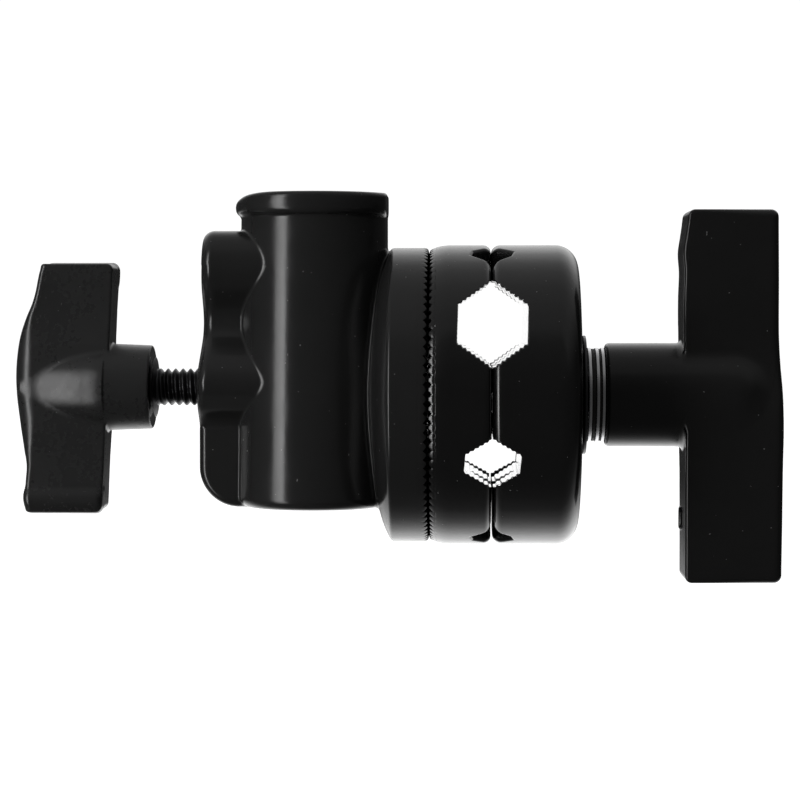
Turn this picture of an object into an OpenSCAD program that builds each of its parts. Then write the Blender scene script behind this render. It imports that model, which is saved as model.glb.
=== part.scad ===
// Grip head: a wing-screw socket for a lighting stand, joined through a toothed
// swivel face to a pair of round V-grooved jaws that a T-handle closes.
// Millimetres, +Z up. The origin is where the stand socket's axis (Z) crosses the
// main stud's axis (X). The T-handle is at +X and the wing screw at -X, with its own
// axis a little above the main stud's.

/* [Stand socket] */
// Diameter of the stand socket bore
socket_d = 16.2; // [15.9:0.1:16.6]
// Radius of the socket column
column_r = 16; // [15:0.25:17]
// X of the column's flat side, towards the flange
column_flat_x = 15.6; // [15:0.1:16]
// Top of the socket column
column_top = 42.6; // [40:0.2:46]
// Bottom of the socket column
column_bottom = -23.8; // [-26:0.2:-22]
// Radius of the lip round the column's top
lip_r = 17.6; // [16.5:0.1:19]
// Height of the lip
lip_h = 4.6; // [3:0.2:6]

/* [Screw bosses] */
// Height of the wing screw's axis above the main stud's axis
screw_z = 1.6; // [0:0.1:2]
// Left face of the bosses
boss_x = -24.8; // [-27:0.2:-23]
// Radius of each boss's rounded edges
boss_r = 7.3; // [6.5:0.1:8]
// Half the distance between the rounded edges' centres, across the casting
boss_half_w = 4.9; // [4:0.1:6]
// Height of the upper boss's centre
upper_boss_z = 27.4; // [25:0.2:29]
// Half thickness of the neck between the bosses
neck_half_w = 4; // [3:0.1:4.6]
// Half thickness of the web below the lower boss
web_half_w = 3.8; // [3:0.1:4.6]
// Radius of the web's lower outer corner
web_corner_r = 9.7; // [6:0.1:12]

/* [Swivel flange] */
// Radius of the flange
flange_r = 31.2; // [30:0.1:31.75]
// X of the flange's back edge
flange_back_x = 16.2; // [15.8:0.1:18]
// X of the tips of the flange's teeth
flange_tip_x = 24; // [22:0.1:25]
// Number of radial teeth on each swivel face
tooth_count = 100; // [60:2:120]
// Depth of the teeth
tooth_depth = 0.6; // [0.3:0.05:0.7]
// Width of each tooth gap
tooth_gap_w = 1.55; // [0.8:0.05:1.6]
// Inner radius of the toothed ring
tooth_ring_r = 25.5; // [25:0.25:28]

/* [Jaws] */
// Radius of the jaws
jaw_r = 31.75; // [31:0.25:32]
// X of the tips of the inner jaw's teeth
inner_tip_x = 24.4; // [24.2:0.05:24.6]
// X of the inner jaw's gripping face
inner_face_x = 37.2; // [36.8:0.1:37.3]
// X of the outer jaw's gripping face
outer_face_x = 37.6; // [37.5:0.1:38]
// X of the outer jaw's outer face
outer_end_x = 55.6; // [54:0.1:56]
// Radius of the outer jaw's outer corner
jaw_corner_r = 4.75; // [3:0.25:5.5]
// Diameter of the main stud
stud_d = 10; // [9:0.5:10]

/* [Grip grooves] */
// Height of the large groove's centre
large_z = 15.1; // [14.8:0.1:15.6]
// Half width of the large groove, along X
large_half_w = 7.2; // [6:0.1:7.6]
// Half height of the large groove
large_half_h = 8.6; // [7.5:0.1:8.8]
// Height of the small groove's centre
small_z = -13.1; // [-13.5:0.1:-12.8]
// Half width of the small groove, along X
small_half_w = 5.8; // [4.5:0.1:6]
// Half height of the small groove
small_half_h = 4.9; // [4:0.1:5.2]
// Y of the front cross groove's centre
front_y = -10.9; // [-11.6:0.1:-10.9]
// Half width and half height of the front cross groove
front_half = 4.5; // [4:0.1:4.5]
// Y of the back cross groove's centre
back_y = 14.5; // [14.2:0.1:15]
// Half width of the back cross groove, along X
back_half_w = 6.2; // [5:0.1:6.4]
// Half height of the back cross groove
back_half_h = 7; // [6:0.1:7]

/* [T-handle] */
// Radius of the T-handle's hub
hub_r = 11; // [10.2:0.1:11.5]
// X of the hub's inner end
hub_x = 61.4; // [61.4:0.1:62]
// X of the wings' inner face
wing_x0 = 78.1; // [77:0.1:80]
// X of the wings' outer face
wing_x1 = 98.4; // [96:0.1:98.6]
// X of the handle's rounded tip
handle_tip_x = 99.4; // [99:0.1:101]
// Half the length of the T-handle's bar
wing_half_l = 39.5; // [34:0.5:42]
// Thickness of the T-handle's bar
wing_t = 15; // [12:0.5:17]

/* [Wing knob] */
// Diameter of the wing screw
knob_stud_d = 7.9; // [7:0.1:8]
// Radius of the knob's hub
knob_hub_r = 9; // [8.5:0.1:9.6]
// X of the hub's inner end
knob_hub_x = -34.9; // [-36:0.1:-34.8]
// X of the knob's rounded outer face
knob_tip_x = -64.2; // [-66:0.2:-62]
// Half the length of the knob's wings
knob_half_l = 26.5; // [22:0.5:30]
// Thickness of the knob's wings
knob_wing_t = 11; // [9:0.5:13]
// Lean of the wings across the knob's axis, in degrees
knob_lean = 2.6; // [0:0.2:4]

/* [Washers] */
// Outer radius of the steel thrust washers
thrust_r = 10; // [9.5:0.1:10.5]
// Outer radius of the friction washers
friction_r = 9.8; // [9:0.1:10.2]
// Outer radius of the conical washer's rim
cone_r = 12.6; // [11.5:0.1:13]

/* [Hidden] */
$fn = 96;

past = 1;                // how far a cutter runs past a face
socket_r = socket_d / 2;
stud_r = stud_d / 2;
knob_stud_r = knob_stud_d / 2;
running = 0.05;          // radial running clearance of a screw or pin
groove_x = (inner_face_x + outer_face_x) / 2;

// Flange: a shallow cone on its back, drawn as radius and X
cone_edge_x = 15.2;      // X of the cone just inside the flange's rounded edge
cone_edge_r = 30.2;
cone_top_x = 10.5;       // X of the cone where it runs into the socket column
cone_top_r = 9.5;
tooth_root_x = flange_tip_x - tooth_depth;
jaw_root_x = inner_tip_x + tooth_depth;
relief = 0.3;            // the face inside the teeth lies this much below their roots
tooth_edge = 0.35;       // chamfer round the tips of the inner jaw's teeth

// Neck and web of the receiver
neck_lobe_z = 15.5;
neck_lobe_r = 3.4;
neck_lobe_half_w = 1.5;
web_rib_x = -17.4;       // left edge of the rib between web and column
web_rib_half_w = 6.5;
web_rib_top = -6;

// Main stud and its parts
stud_head_x = 9.6;
stud_head_r = 6.5;
stud_shoulder_x = 13.5;
stud_end_x = 86;
lock_pin_r = 1.5;
lock_pin_x = 11.4;
lock_pin_z = 5.6;
lock_pin_y0 = 1.5;
lock_pin_y1 = 13.2;
stud_clear_r = stud_r + 0.3;

// Jaw spring and alignment pins
spring_r = 5.75;         // mean radius of the coil
spring_wire_r = 0.45;
spring_turns = 5;
spring_pocket_r = 6.35;
spring_x0 = 30.2;
spring_x1 = 44.6;
spring_end_gap = 0.1;
pin_r = 2;
pin_z = -1;
pin_front_y = -21;
pin_back_y = 25;
pin_x0 = 27;
pin_x1 = 48.5;

// Groove shapes
large_flat = 3.5;        // half length of each groove's flat floor
small_flat = 1.5;
front_flat = 1.2;
back_flat = 2.2;
serration_depth = 0.35;
large_teeth = 8;
small_teeth = 6;
front_teeth = 4;
back_teeth = 7;

// Washer stack, as X from the outer jaw to the handle
cone_x = [55.7, 56.6, 56.75, 57.4];
stack_x = [57.75, 58.45, 59.35, 60.05, 60.55, 61.25];
washer_bore_r = stud_r + 0.2;

// T-handle
handle_bore_end_x = 89;
insert_r = 7.5;
insert_x0 = 62.6;
insert_x1 = 78;
hub_chamfer = 0.9;
nose_start_x = 88;       // X where the hub starts to round off
wing_corner_r = 1.7;
wing_edge_r = 1.5;

// Wing knob, screw and pad
knob_insert_x0 = -22.8;
knob_insert_x1 = -12.6;
knob_insert_r = 5.75;
knob_stud_x0 = -57;
knob_stud_x1 = -11;
knob_neck_r = 1.9;
knob_neck_x = -9.7;
pad_x0 = -10.9;
pad_x1 = -8.4;
pad_r = 3.1;
knob_washer_x = -34.6;
knob_washer_t = 0.6;
knob_washer_r = 6.4;
knob_nose_end_x = -45.6;  // where the rounded nose meets the hub
knob_wing_back_x = -43.8; // inner edge of the wings
knob_wing_tip_x = -60;    // outer edge of the wings at their ends
knob_bead_r = 1.6;

// ---------------------------------------------------------------- helpers

// Children moved from the main stud's axis to the wing screw's
module on_screw_axis() {
    translate([0, 0, screw_z]) children();
}

// Cylinder along X
module x_cylinder(r, x0, x1) {
    translate([x0, 0, 0]) rotate([0, 90, 0]) cylinder(r = r, h = x1 - x0);
}

// Outline of [radius, X] points turned round the X axis
module x_turned(outline) {
    rotate([0, 90, 0]) rotate_extrude() polygon(outline);
}

// Washer on the X axis
module x_washer(r_in, r_out, x0, x1) {
    difference() {
        x_cylinder(r_out, x0, x1);
        x_cylinder(r_in, x0 - past, x1 + past);
    }
}

// 2D shape drawn as [X, Z], extruded along Y from y0 to y1
module along_y(y0, y1) {
    translate([0, y1, 0]) rotate([90, 0, 0]) linear_extrude(height = y1 - y0) children();
}

// 2D shape drawn as [Y, Z], extruded along X from x0 to x1
module along_x(x0, x1) {
    translate([x0, 0, 0]) rotate([90, 0, 90]) linear_extrude(height = x1 - x0) children();
}

// Rectangle with round corners, drawn from its lowest to its highest corner
module round_rectangle(low, high, r) {
    w = high[0] - low[0];
    h = high[1] - low[1];
    translate(low) {
        translate([r, 0]) square([w - 2 * r, h]);
        translate([0, r]) square([w, h - 2 * r]);
        for (x = [r, w - r], y = [r, h - r]) translate([x, y]) circle(r = r);
    }
}

// Points of an arc, from angle a0 to a1
function arc(centre, r, a0, a1, steps) = [
    for (i = [0 : steps])
        let (a = a0 + (a1 - a0) * i / steps) centre + r * [cos(a), sin(a)]
];

// One serrated flank from p to q, without q: each tooth is a notch cut into the metal
function flank(p, q, teeth) =
    let (
        along = (q - p) / teeth,
        out = serration_depth * [along[1], -along[0]] / norm(along)
    )
    [for (i = [0 : teeth - 1], k = [0, 1]) p + along * (i + k / 2) + out * k];

// Six-sided groove with its points up and down and serrated flanks
function groove_outline(half_w, half_h, flat, teeth) = concat(
    flank([0, -half_h], [half_w, -flat], teeth),
    flank([half_w, flat], [0, half_h], teeth),
    flank([0, half_h], [-half_w, flat], teeth),
    flank([-half_w, -flat], [0, -half_h], teeth)
);

// Radial tooth gaps cut into the face at X = tip, towards direction (+1 or -1)
module tooth_gaps(tip, direction) {
    for (i = [0 : tooth_count - 1])
        rotate([i * 360 / tooth_count, 0, 0])
            translate([tip, 0, tooth_ring_r - past])
                linear_extrude(height = jaw_r - tooth_ring_r + 2 * past)
                    polygon([
                        [-0.01 * direction, -tooth_gap_w / 2],
                        [tooth_depth * direction, 0],
                        [-0.01 * direction, tooth_gap_w / 2]
                    ]);
}

// ---------------------------------------------------------------- receiver

// Round-edged boss across the casting, from X = x0 into the column
module boss(z, x0) {
    along_x(x0, -column_r / 2) translate([0, z]) {
        for (side = [-1, 1]) translate([side * boss_half_w, 0]) circle(r = boss_r);
        translate([-boss_half_w, -boss_r]) square([2 * boss_half_w, 2 * boss_r]);
    }
}

module neck() {
    along_x(boss_x + 0.6, -column_r / 2) {
        translate([-neck_half_w, screw_z]) square([2 * neck_half_w, upper_boss_z - screw_z]);
        for (side = [-1, 1])
            translate([side * neck_lobe_half_w, neck_lobe_z]) circle(r = neck_lobe_r);
    }
}

module web() {
    along_y(-web_half_w, web_half_w) difference() {
        translate([boss_x, column_bottom]) square([-boss_x - column_r / 2, -column_bottom]);
        difference() {
            translate([boss_x - past, column_bottom - past]) square(web_corner_r + past);
            translate([boss_x, column_bottom] + [1, 1] * web_corner_r) circle(r = web_corner_r);
        }
    }
    translate([web_rib_x, -web_rib_half_w, column_bottom])
        cube([-column_r / 2 - web_rib_x, 2 * web_rib_half_w, web_rib_top - column_bottom]);
}

module socket_column() {
    intersection() {
        union() {
            translate([0, 0, column_bottom]) cylinder(r = column_r, h = column_top - column_bottom);
            translate([0, 0, column_top - lip_h]) rotate_extrude() polygon(concat(
                [[0, 0], [lip_r, 0]],
                arc([lip_r - 2, lip_h - 2], 2, 0, 90, 8),
                [[0, lip_h]]
            ));
        }
        translate([-2 * lip_r, -2 * lip_r, column_bottom - past])
            cube([2 * lip_r + column_flat_x, 4 * lip_r, column_top - column_bottom + 2 * past]);
    }
}

module flange() {
    x_turned([
        [0, cone_top_x], [cone_top_r, cone_top_x], [cone_edge_r, cone_edge_x],
        [flange_r, flange_back_x], [flange_r, flange_tip_x],
        [tooth_ring_r, flange_tip_x], [tooth_ring_r, tooth_root_x - relief],
        [0, tooth_root_x - relief]
    ]);
}

module receiver_body() {
    color([0.05, 0.05, 0.055]) difference() {
        union() {
            socket_column();
            flange();
            boss(upper_boss_z, boss_x + 0.6);
            boss(screw_z, boss_x);
            neck();
            web();
        }
        // stand socket, open at both ends
        translate([0, 0, column_bottom - past])
            cylinder(r = socket_r, h = column_top - column_bottom + 2 * past);
        // wing screw: mouth, insert seat and the way through to the socket
        on_screw_axis() {
            x_cylinder(knob_stud_r + 0.3, boss_x - past, 0);
            x_cylinder(knob_insert_r, knob_insert_x0, knob_insert_x1);
        }
        // main stud's seat, from the toothed side
        x_cylinder(stud_head_r, stud_head_x, stud_shoulder_x);
        x_cylinder(stud_r, stud_shoulder_x - 0.1, flange_tip_x);
        // lock pin hole, from the back
        translate([lock_pin_x, 0, lock_pin_z]) along_y(lock_pin_y0, 2 * column_r) circle(r = lock_pin_r);
        tooth_gaps(flange_tip_x, -1);
    }
}

// Steel stud with a headed root, flatted where the lock pin crosses it
module main_stud() {
    color([0.16, 0.16, 0.17]) difference() {
        union() {
            x_cylinder(stud_head_r, stud_head_x, stud_shoulder_x);
            x_turned([
                [0, stud_head_x], [stud_r, stud_head_x], [stud_r, stud_end_x - 1],
                [stud_r - 1, stud_end_x], [0, stud_end_x]
            ]);
        }
        translate([lock_pin_x, 0, lock_pin_z])
            along_y(-stud_head_r - past, stud_head_r + past) circle(r = lock_pin_r);
    }
}

module stud_lock_pin() {
    color([0.3, 0.3, 0.31])
        translate([lock_pin_x, 0, lock_pin_z]) along_y(lock_pin_y0, lock_pin_y1) circle(r = lock_pin_r);
}

module knob_thread_insert() {
    color([0.55, 0.5, 0.4]) on_screw_axis()
        x_washer(knob_stud_r + running, knob_insert_r, knob_insert_x0, knob_insert_x1);
}

// ---------------------------------------------------------------- jaws

// The four grip grooves, cut from both jaws at once
module grip_grooves() {
    reach = 2 * jaw_r;
    translate([groove_x, 0, large_z]) along_y(-reach, reach)
        polygon(groove_outline(large_half_w, large_half_h, large_flat, large_teeth));
    translate([groove_x, 0, small_z]) along_y(-reach, reach)
        polygon(groove_outline(small_half_w, small_half_h, small_flat, small_teeth));
    translate([groove_x, front_y, -reach]) linear_extrude(height = 2 * reach)
        polygon(groove_outline(front_half, front_half, front_flat, front_teeth));
    translate([groove_x, back_y, -reach]) linear_extrude(height = 2 * reach)
        polygon(groove_outline(back_half_w, back_half_h, back_flat, back_teeth));
}

// Stud hole and spring pocket of both jaws
module jaw_bores() {
    x_cylinder(stud_clear_r, inner_tip_x - past, outer_end_x + past);
    x_cylinder(spring_pocket_r, spring_x0, spring_x1);
}

module alignment_pin(y, r = pin_r, x1 = pin_x1) {
    translate([0, y, pin_z]) x_cylinder(r, pin_x0, x1);
}

module inner_jaw() {
    color([0.05, 0.05, 0.055]) difference() {
        x_turned([
            [0, jaw_root_x + relief], [tooth_ring_r, jaw_root_x + relief],
            [tooth_ring_r, inner_tip_x], [jaw_r - tooth_edge, inner_tip_x],
            [jaw_r, inner_tip_x + tooth_edge], [jaw_r, inner_face_x - 0.3],
            [jaw_r - 0.3, inner_face_x], [0, inner_face_x]
        ]);
        grip_grooves();
        jaw_bores();
        alignment_pin(pin_front_y);
        alignment_pin(pin_back_y);
        tooth_gaps(inner_tip_x, 1);
    }
}

module outer_jaw() {
    corner = [jaw_r - jaw_corner_r, outer_end_x - jaw_corner_r];
    color([0.05, 0.05, 0.055]) difference() {
        x_turned(concat(
            [[0, outer_face_x], [jaw_r - 0.3, outer_face_x], [jaw_r, outer_face_x + 0.3]],
            arc(corner, jaw_corner_r, 0, 90, 12),
            [[0, outer_end_x]]
        ));
        grip_grooves();
        jaw_bores();
        for (y = [pin_front_y, pin_back_y]) alignment_pin(y, pin_r + running, pin_x1 + past);
    }
}

module alignment_pin_front() {
    color([0.45, 0.45, 0.46]) alignment_pin(pin_front_y);
}

module alignment_pin_back() {
    color([0.45, 0.45, 0.46]) alignment_pin(pin_back_y);
}

// Round wire swept along a helix
module jaw_spring() {
    wire_sides = 8;
    steps_per_turn = 20;
    rings = spring_turns * steps_per_turn;
    x_first = spring_x0 + spring_wire_r + spring_end_gap;
    x_last = spring_x1 - spring_wire_r - spring_end_gap;
    points = [
        for (i = [0 : rings], k = [0 : wire_sides - 1])
            let (
                turn = 360 * i / steps_per_turn,
                side = 360 * k / wire_sides,
                r = spring_r + spring_wire_r * cos(side)
            )
            [x_first + (x_last - x_first) * i / rings + spring_wire_r * sin(side),
             r * cos(turn), r * sin(turn)]
    ];
    sides = [
        for (i = [0 : rings - 1], k = [0 : wire_sides - 1])
            let (a = i * wire_sides + k, b = i * wire_sides + (k + 1) % wire_sides)
            [a, b, b + wire_sides, a + wire_sides]
    ];
    first_cap = [[for (k = [wire_sides - 1 : -1 : 0]) k]];
    last_cap = [[for (k = [0 : wire_sides - 1]) rings * wire_sides + k]];
    color([0.5, 0.5, 0.52]) polyhedron(points, concat(sides, first_cap, last_cap));
}

// ---------------------------------------------------------------- washer stack

module cone_washer() {
    color([0.2, 0.2, 0.21]) x_turned([
        [washer_bore_r, cone_x[0]], [washer_bore_r, cone_x[1]],
        [cone_r, cone_x[3]], [cone_r, cone_x[2]]
    ]);
}

module thrust_washer_inner() {
    color([0.75, 0.75, 0.76]) x_washer(washer_bore_r, thrust_r, stack_x[0], stack_x[1]);
}

module friction_washer_inner() {
    color([0.1, 0.1, 0.1]) x_washer(washer_bore_r, friction_r, stack_x[1], stack_x[2]);
}

module thrust_washer_middle() {
    color([0.75, 0.75, 0.76]) x_washer(washer_bore_r, thrust_r, stack_x[2], stack_x[3]);
}

module friction_washer_outer() {
    color([0.1, 0.1, 0.1]) x_washer(washer_bore_r, friction_r, stack_x[3], stack_x[4]);
}

module thrust_washer_outer() {
    color([0.75, 0.75, 0.76]) x_washer(washer_bore_r, thrust_r, stack_x[4], stack_x[5]);
}

// ---------------------------------------------------------------- T-handle

// Bar of the T: rounded seen from the front and from the end
module handle_bar() {
    intersection() {
        along_y(-wing_t / 2, wing_t / 2)
            round_rectangle([wing_x0, -wing_half_l], [wing_x1, wing_half_l], wing_corner_r);
        along_x(wing_x0, wing_x1)
            round_rectangle([-wing_t / 2, -wing_half_l], [wing_t / 2, wing_half_l], wing_edge_r);
    }
}

module t_handle() {
    nose_l = handle_tip_x - nose_start_x;
    nose = [
        for (i = [0 : 12])
            let (a = 90 * i / 12) [hub_r * cos(a), nose_start_x + nose_l * sin(a)]
    ];
    color([0.05, 0.05, 0.055]) difference() {
        union() {
            x_turned(concat([[0, hub_x], [hub_r - hub_chamfer, hub_x], [hub_r, hub_x + hub_chamfer]], nose));
            handle_bar();
        }
        x_cylinder(stud_r + 0.6, hub_x - past, handle_bore_end_x);
        x_cylinder(insert_r, insert_x0, insert_x1);
    }
}

module handle_thread_insert() {
    color([0.55, 0.5, 0.4]) x_washer(stud_r + running, insert_r, insert_x0, insert_x1);
}

// ---------------------------------------------------------------- wing knob

// Both wings seen from the front, with a bead along each end
module wing_outline() {
    belly_r = 90;
    intersection() {
        union() {
            polygon([
                [knob_wing_back_x, knob_half_l], [knob_wing_tip_x, knob_half_l],
                [knob_tip_x, 6], [knob_tip_x, -6],
                [knob_wing_tip_x, -knob_half_l], [knob_wing_back_x, -knob_half_l]
            ]);
            for (end = [-1, 1])
                translate([knob_wing_tip_x, end * (knob_half_l - knob_bead_r)]) circle(r = knob_bead_r);
        }
        translate([knob_tip_x + belly_r, 0]) circle(r = belly_r);
    }
}

module knob_wings() {
    translate([knob_wing_back_x, 0, 0]) rotate([0, knob_lean, 0]) translate([-knob_wing_back_x, 0, 0])
        along_y(-knob_wing_t / 2, knob_wing_t / 2) wing_outline();
}

module wing_knob() {
    nose_l = knob_nose_end_x - knob_tip_x;
    nose = [
        for (i = [0 : 12])
            let (a = 90 * i / 12) [knob_hub_r * sin(a), knob_nose_end_x - nose_l * cos(a)]
    ];
    color([0.05, 0.05, 0.055]) on_screw_axis() difference() {
        union() {
            x_turned(concat(nose, [[knob_hub_r, knob_hub_x], [0, knob_hub_x]]));
            knob_wings();
        }
        x_cylinder(knob_stud_r, knob_stud_x0, knob_hub_x + past);
    }
}

module knob_stud() {
    color([0.16, 0.16, 0.17]) on_screw_axis() {
        x_cylinder(knob_stud_r, knob_stud_x0, knob_stud_x1);
        x_cylinder(knob_neck_r, knob_stud_x1 - past, knob_neck_x);
    }
}

module knob_washer() {
    color([0.4, 0.4, 0.41]) on_screw_axis()
        x_washer(knob_stud_r + running, knob_washer_r, knob_washer_x, knob_washer_x + knob_washer_t);
}

module pressure_pad() {
    color([0.7, 0.55, 0.3]) on_screw_axis() difference() {
        x_cylinder(pad_r, pad_x0, pad_x1);
        x_cylinder(knob_neck_r + running, pad_x0 - past, knob_neck_x + running);
    }
}

receiver_body();
main_stud();
stud_lock_pin();
knob_thread_insert();
inner_jaw();
outer_jaw();
alignment_pin_front();
alignment_pin_back();
jaw_spring();
cone_washer();
thrust_washer_inner();
friction_washer_inner();
thrust_washer_middle();
friction_washer_outer();
thrust_washer_outer();
t_handle();
handle_thread_insert();
wing_knob();
knob_stud();
knob_washer();
pressure_pad();
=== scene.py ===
"""Looks of the grip head: cast pieces from distance fields, turned and threaded steel,
procedural finishes, and a white studio. Shapes are in millimetres until a mesh is made."""

import math

import bmesh
import bpy
import numpy as np
from mathutils import Matrix, Vector


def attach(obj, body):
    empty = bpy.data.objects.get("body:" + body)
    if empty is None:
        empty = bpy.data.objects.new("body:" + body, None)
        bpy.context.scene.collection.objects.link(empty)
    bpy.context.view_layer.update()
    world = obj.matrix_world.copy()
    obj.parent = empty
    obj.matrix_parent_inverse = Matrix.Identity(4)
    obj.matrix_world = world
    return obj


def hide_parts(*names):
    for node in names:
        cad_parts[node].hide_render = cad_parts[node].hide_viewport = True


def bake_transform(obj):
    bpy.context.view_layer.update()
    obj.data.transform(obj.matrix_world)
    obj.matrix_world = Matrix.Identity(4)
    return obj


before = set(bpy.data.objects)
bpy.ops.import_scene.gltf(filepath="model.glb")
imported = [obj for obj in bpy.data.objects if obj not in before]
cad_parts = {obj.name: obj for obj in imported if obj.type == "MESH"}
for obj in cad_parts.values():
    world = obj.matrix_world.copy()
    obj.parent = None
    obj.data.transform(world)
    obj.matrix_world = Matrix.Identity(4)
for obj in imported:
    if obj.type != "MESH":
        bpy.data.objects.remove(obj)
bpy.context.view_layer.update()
MM = 0.001


# ------------------------------------------------------------------ distance fields
# A field is negative inside. x, y and z may be grids that broadcast or lists of points.

def round_and(a, b, r):
    """Both a and b, with the edge between them rounded to radius r."""
    return np.minimum(np.maximum(a, b), -r) + np.hypot(np.maximum(a + r, 0), np.maximum(b + r, 0))


def round_or(a, b, r):
    """Either a or b, with a fillet of radius r in the corner between them."""
    return -round_and(-a, -b, r)


def cut(a, b, r=0.3):
    """a without b, with a rounded edge."""
    return round_and(a, -b, r)


def soft_or(a, b, k):
    """Either a or b, flowing into each other over about k."""
    h = np.maximum(k - np.abs(a - b), 0) / k
    return np.minimum(a, b) - h * h * k / 4


def soft_and(a, b, k):
    """Both a and b, with the edge between them blunted over about k."""
    return -soft_or(-a, -b, k)


def span(t, low, high):
    """Between low and high."""
    return np.maximum(low - t, t - high)


def curve(t, points):
    """Smooth curve through [place, value] points, level beyond both ends."""
    at, value = np.array(sorted(points), float).T
    rise = np.gradient(value, at)
    rise[0] = rise[-1] = 0
    k = np.clip(np.searchsorted(at, t) - 1, 0, len(at) - 2)
    h = at[k + 1] - at[k]
    u = np.clip((t - at[k]) / h, 0, 1)
    return (
        (1 + 2 * u) * (1 - u) ** 2 * value[k] + u * u * (3 - 2 * u) * value[k + 1]
        + u * (1 - u) ** 2 * h * rise[k] - u * u * (1 - u) * h * rise[k + 1]
    )


def disc(u, v, r):
    """Within r of the middle of u and v."""
    return np.hypot(u, v) - r


def stadium(u, v, half, r):
    """Distance to a slot shape: two circles of radius r, half apart from the middle along u."""
    return np.hypot(np.maximum(np.abs(u) - half, 0), v) - r


def polygon(u, v, points):
    """Signed distance to a closed polygon. Far outside it is the distance to the polygon's box."""
    u, v = np.broadcast_arrays(u, v)
    low, high = np.min(points, 0), np.max(points, 0)
    far = np.hypot(np.maximum(span(u, low[0], high[0]), 0), np.maximum(span(v, low[1], high[1]), 0))
    near = far < 1
    out = far.copy()
    out[near] = polygon_near(u[near], v[near], points)
    return out


def polygon_near(u, v, points):
    """Signed distance to a closed polygon, from its edges and the side they are passed on."""
    best = np.full(u.shape, np.inf)
    odd = np.zeros(u.shape, bool)
    for (au, av), (bu, bv) in zip(points, points[1:] + points[:1]):
        eu, ev = bu - au, bv - av
        if eu == 0 and ev == 0:
            continue
        wu, wv = u - au, v - av
        t = np.clip((wu * eu + wv * ev) / (eu * eu + ev * ev), 0, 1)
        best = np.minimum(best, (wu - eu * t) ** 2 + (wv - ev * t) ** 2)
        crosses = (av <= v) != (bv <= v)
        side = wu * ev - wv * eu
        odd ^= crosses & ((side < 0) == (ev > 0))
    return np.where(odd, -1.0, 1.0) * np.sqrt(best)


# ------------------------------------------------------------------ meshes

def net_mesh(field, xs, ys, zs):
    """Vertices (mm) and quads of a field's zero surface on a rectilinear grid."""
    f = np.asarray(field(xs[:, None, None], ys[None, :, None], zs[None, None, :]), np.float32)
    inside = f < 0
    n = [s - 1 for s in f.shape]
    corners = [(i, j, k) for i in (0, 1) for j in (0, 1) for k in (0, 1)]
    count = np.zeros(n, np.int8)
    for i, j, k in corners:
        count += inside[i:n[0] + i, j:n[1] + j, k:n[2] + k]
    cell = np.argwhere((count > 0) & (count < 8))
    index = np.full(n, -1, np.int64)
    index[tuple(cell.T)] = np.arange(len(cell))
    total = np.zeros((len(cell), 3))
    hits = np.zeros(len(cell))
    axes = (xs, ys, zs)
    for a in corners:
        for d in range(3):
            if a[d]:
                continue
            b = tuple(a[e] + (e == d) for e in range(3))
            ca, cb = cell + a, cell + b
            fa, fb = f[tuple(ca.T)], f[tuple(cb.T)]
            on = (fa < 0) != (fb < 0)
            t = fa[on] / (fa[on] - fb[on])
            pa = np.stack([axes[e][ca[on, e]] for e in range(3)], 1)
            pb = np.stack([axes[e][cb[on, e]] for e in range(3)], 1)
            total[on] += pa + (pb - pa) * t[:, None]
            hits[on] += 1
    points = total / hits[:, None]
    quads = []
    for d in range(3):
        e, g = (d + 1) % 3, (d + 2) % 3
        low = [slice(None)] * 3
        high = [slice(None)] * 3
        low[d], high[d] = slice(0, n[d]), slice(1, n[d] + 1)
        change = np.argwhere(inside[tuple(low)] != inside[tuple(high)])
        within = [(change[:, q] > 0) & (change[:, q] < n[q]) for q in (e, g)]
        change = change[within[0] & within[1]]
        unit_e, unit_g = np.eye(3, dtype=int)[e], np.eye(3, dtype=int)[g]
        ring = [index[tuple((change - s).T)] for s in (0 * unit_e, unit_e, unit_e + unit_g, unit_g)]
        quad = np.stack(ring, 1)
        flip = ~inside[tuple(change.T)]
        quad[flip] = quad[flip][:, ::-1]
        quads.append(quad)
    return points, np.concatenate(quads)


def slope(field, p, h=0.02):
    """Value and gradient of a field at points."""
    value = field(*p.T)
    rows = []
    for d in range(3):
        step = np.zeros(3)
        step[d] = h
        rows.append((field(*(p + step).T) - field(*(p - step).T)) / (2 * h))
    return value, np.stack(rows, 1)


def settle(field, points, rounds=3, reach=0.3):
    """Points moved onto a field's surface, and their outward directions."""
    for _ in range(rounds):
        value, gradient = slope(field, points)
        size = np.maximum((gradient ** 2).sum(1), 0.04)
        points = points - np.clip(value / size, -reach, reach)[:, None] * gradient
    _, gradient = slope(field, points)
    return points, gradient / np.maximum(np.linalg.norm(gradient, axis=1), 1e-9)[:, None]


def steps(low, high, coarse, fine=None, zones=()):
    """Grid lines from low to high, closer together inside the zones."""
    lines = [low]
    while lines[-1] < high:
        t = lines[-1]
        near = any(a - coarse < t < b for a, b in zones)
        lines.append(t + (fine if near else coarse))
    return np.array(lines)


def piece(name, points, faces, normals=None):
    """Object from points in millimetres."""
    mesh = bpy.data.meshes.new(name)
    faces = np.asarray(faces)
    mesh.vertices.add(len(points))
    mesh.vertices.foreach_set("co", (np.asarray(points) * MM).astype(np.float32).ravel())
    size = faces.shape[1]
    mesh.loops.add(faces.size)
    mesh.loops.foreach_set("vertex_index", faces.astype(np.int32).ravel())
    mesh.polygons.add(len(faces))
    mesh.polygons.foreach_set("loop_start", np.arange(0, faces.size, size, dtype=np.int32))
    mesh.update(calc_edges=True)
    mesh.validate()
    mesh.shade_smooth()
    if normals is not None:
        mesh.normals_split_custom_set_from_vertices(normals.astype(np.float32))
    obj = bpy.data.objects.new(name, mesh)
    bpy.context.scene.collection.objects.link(obj)
    return obj


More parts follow.
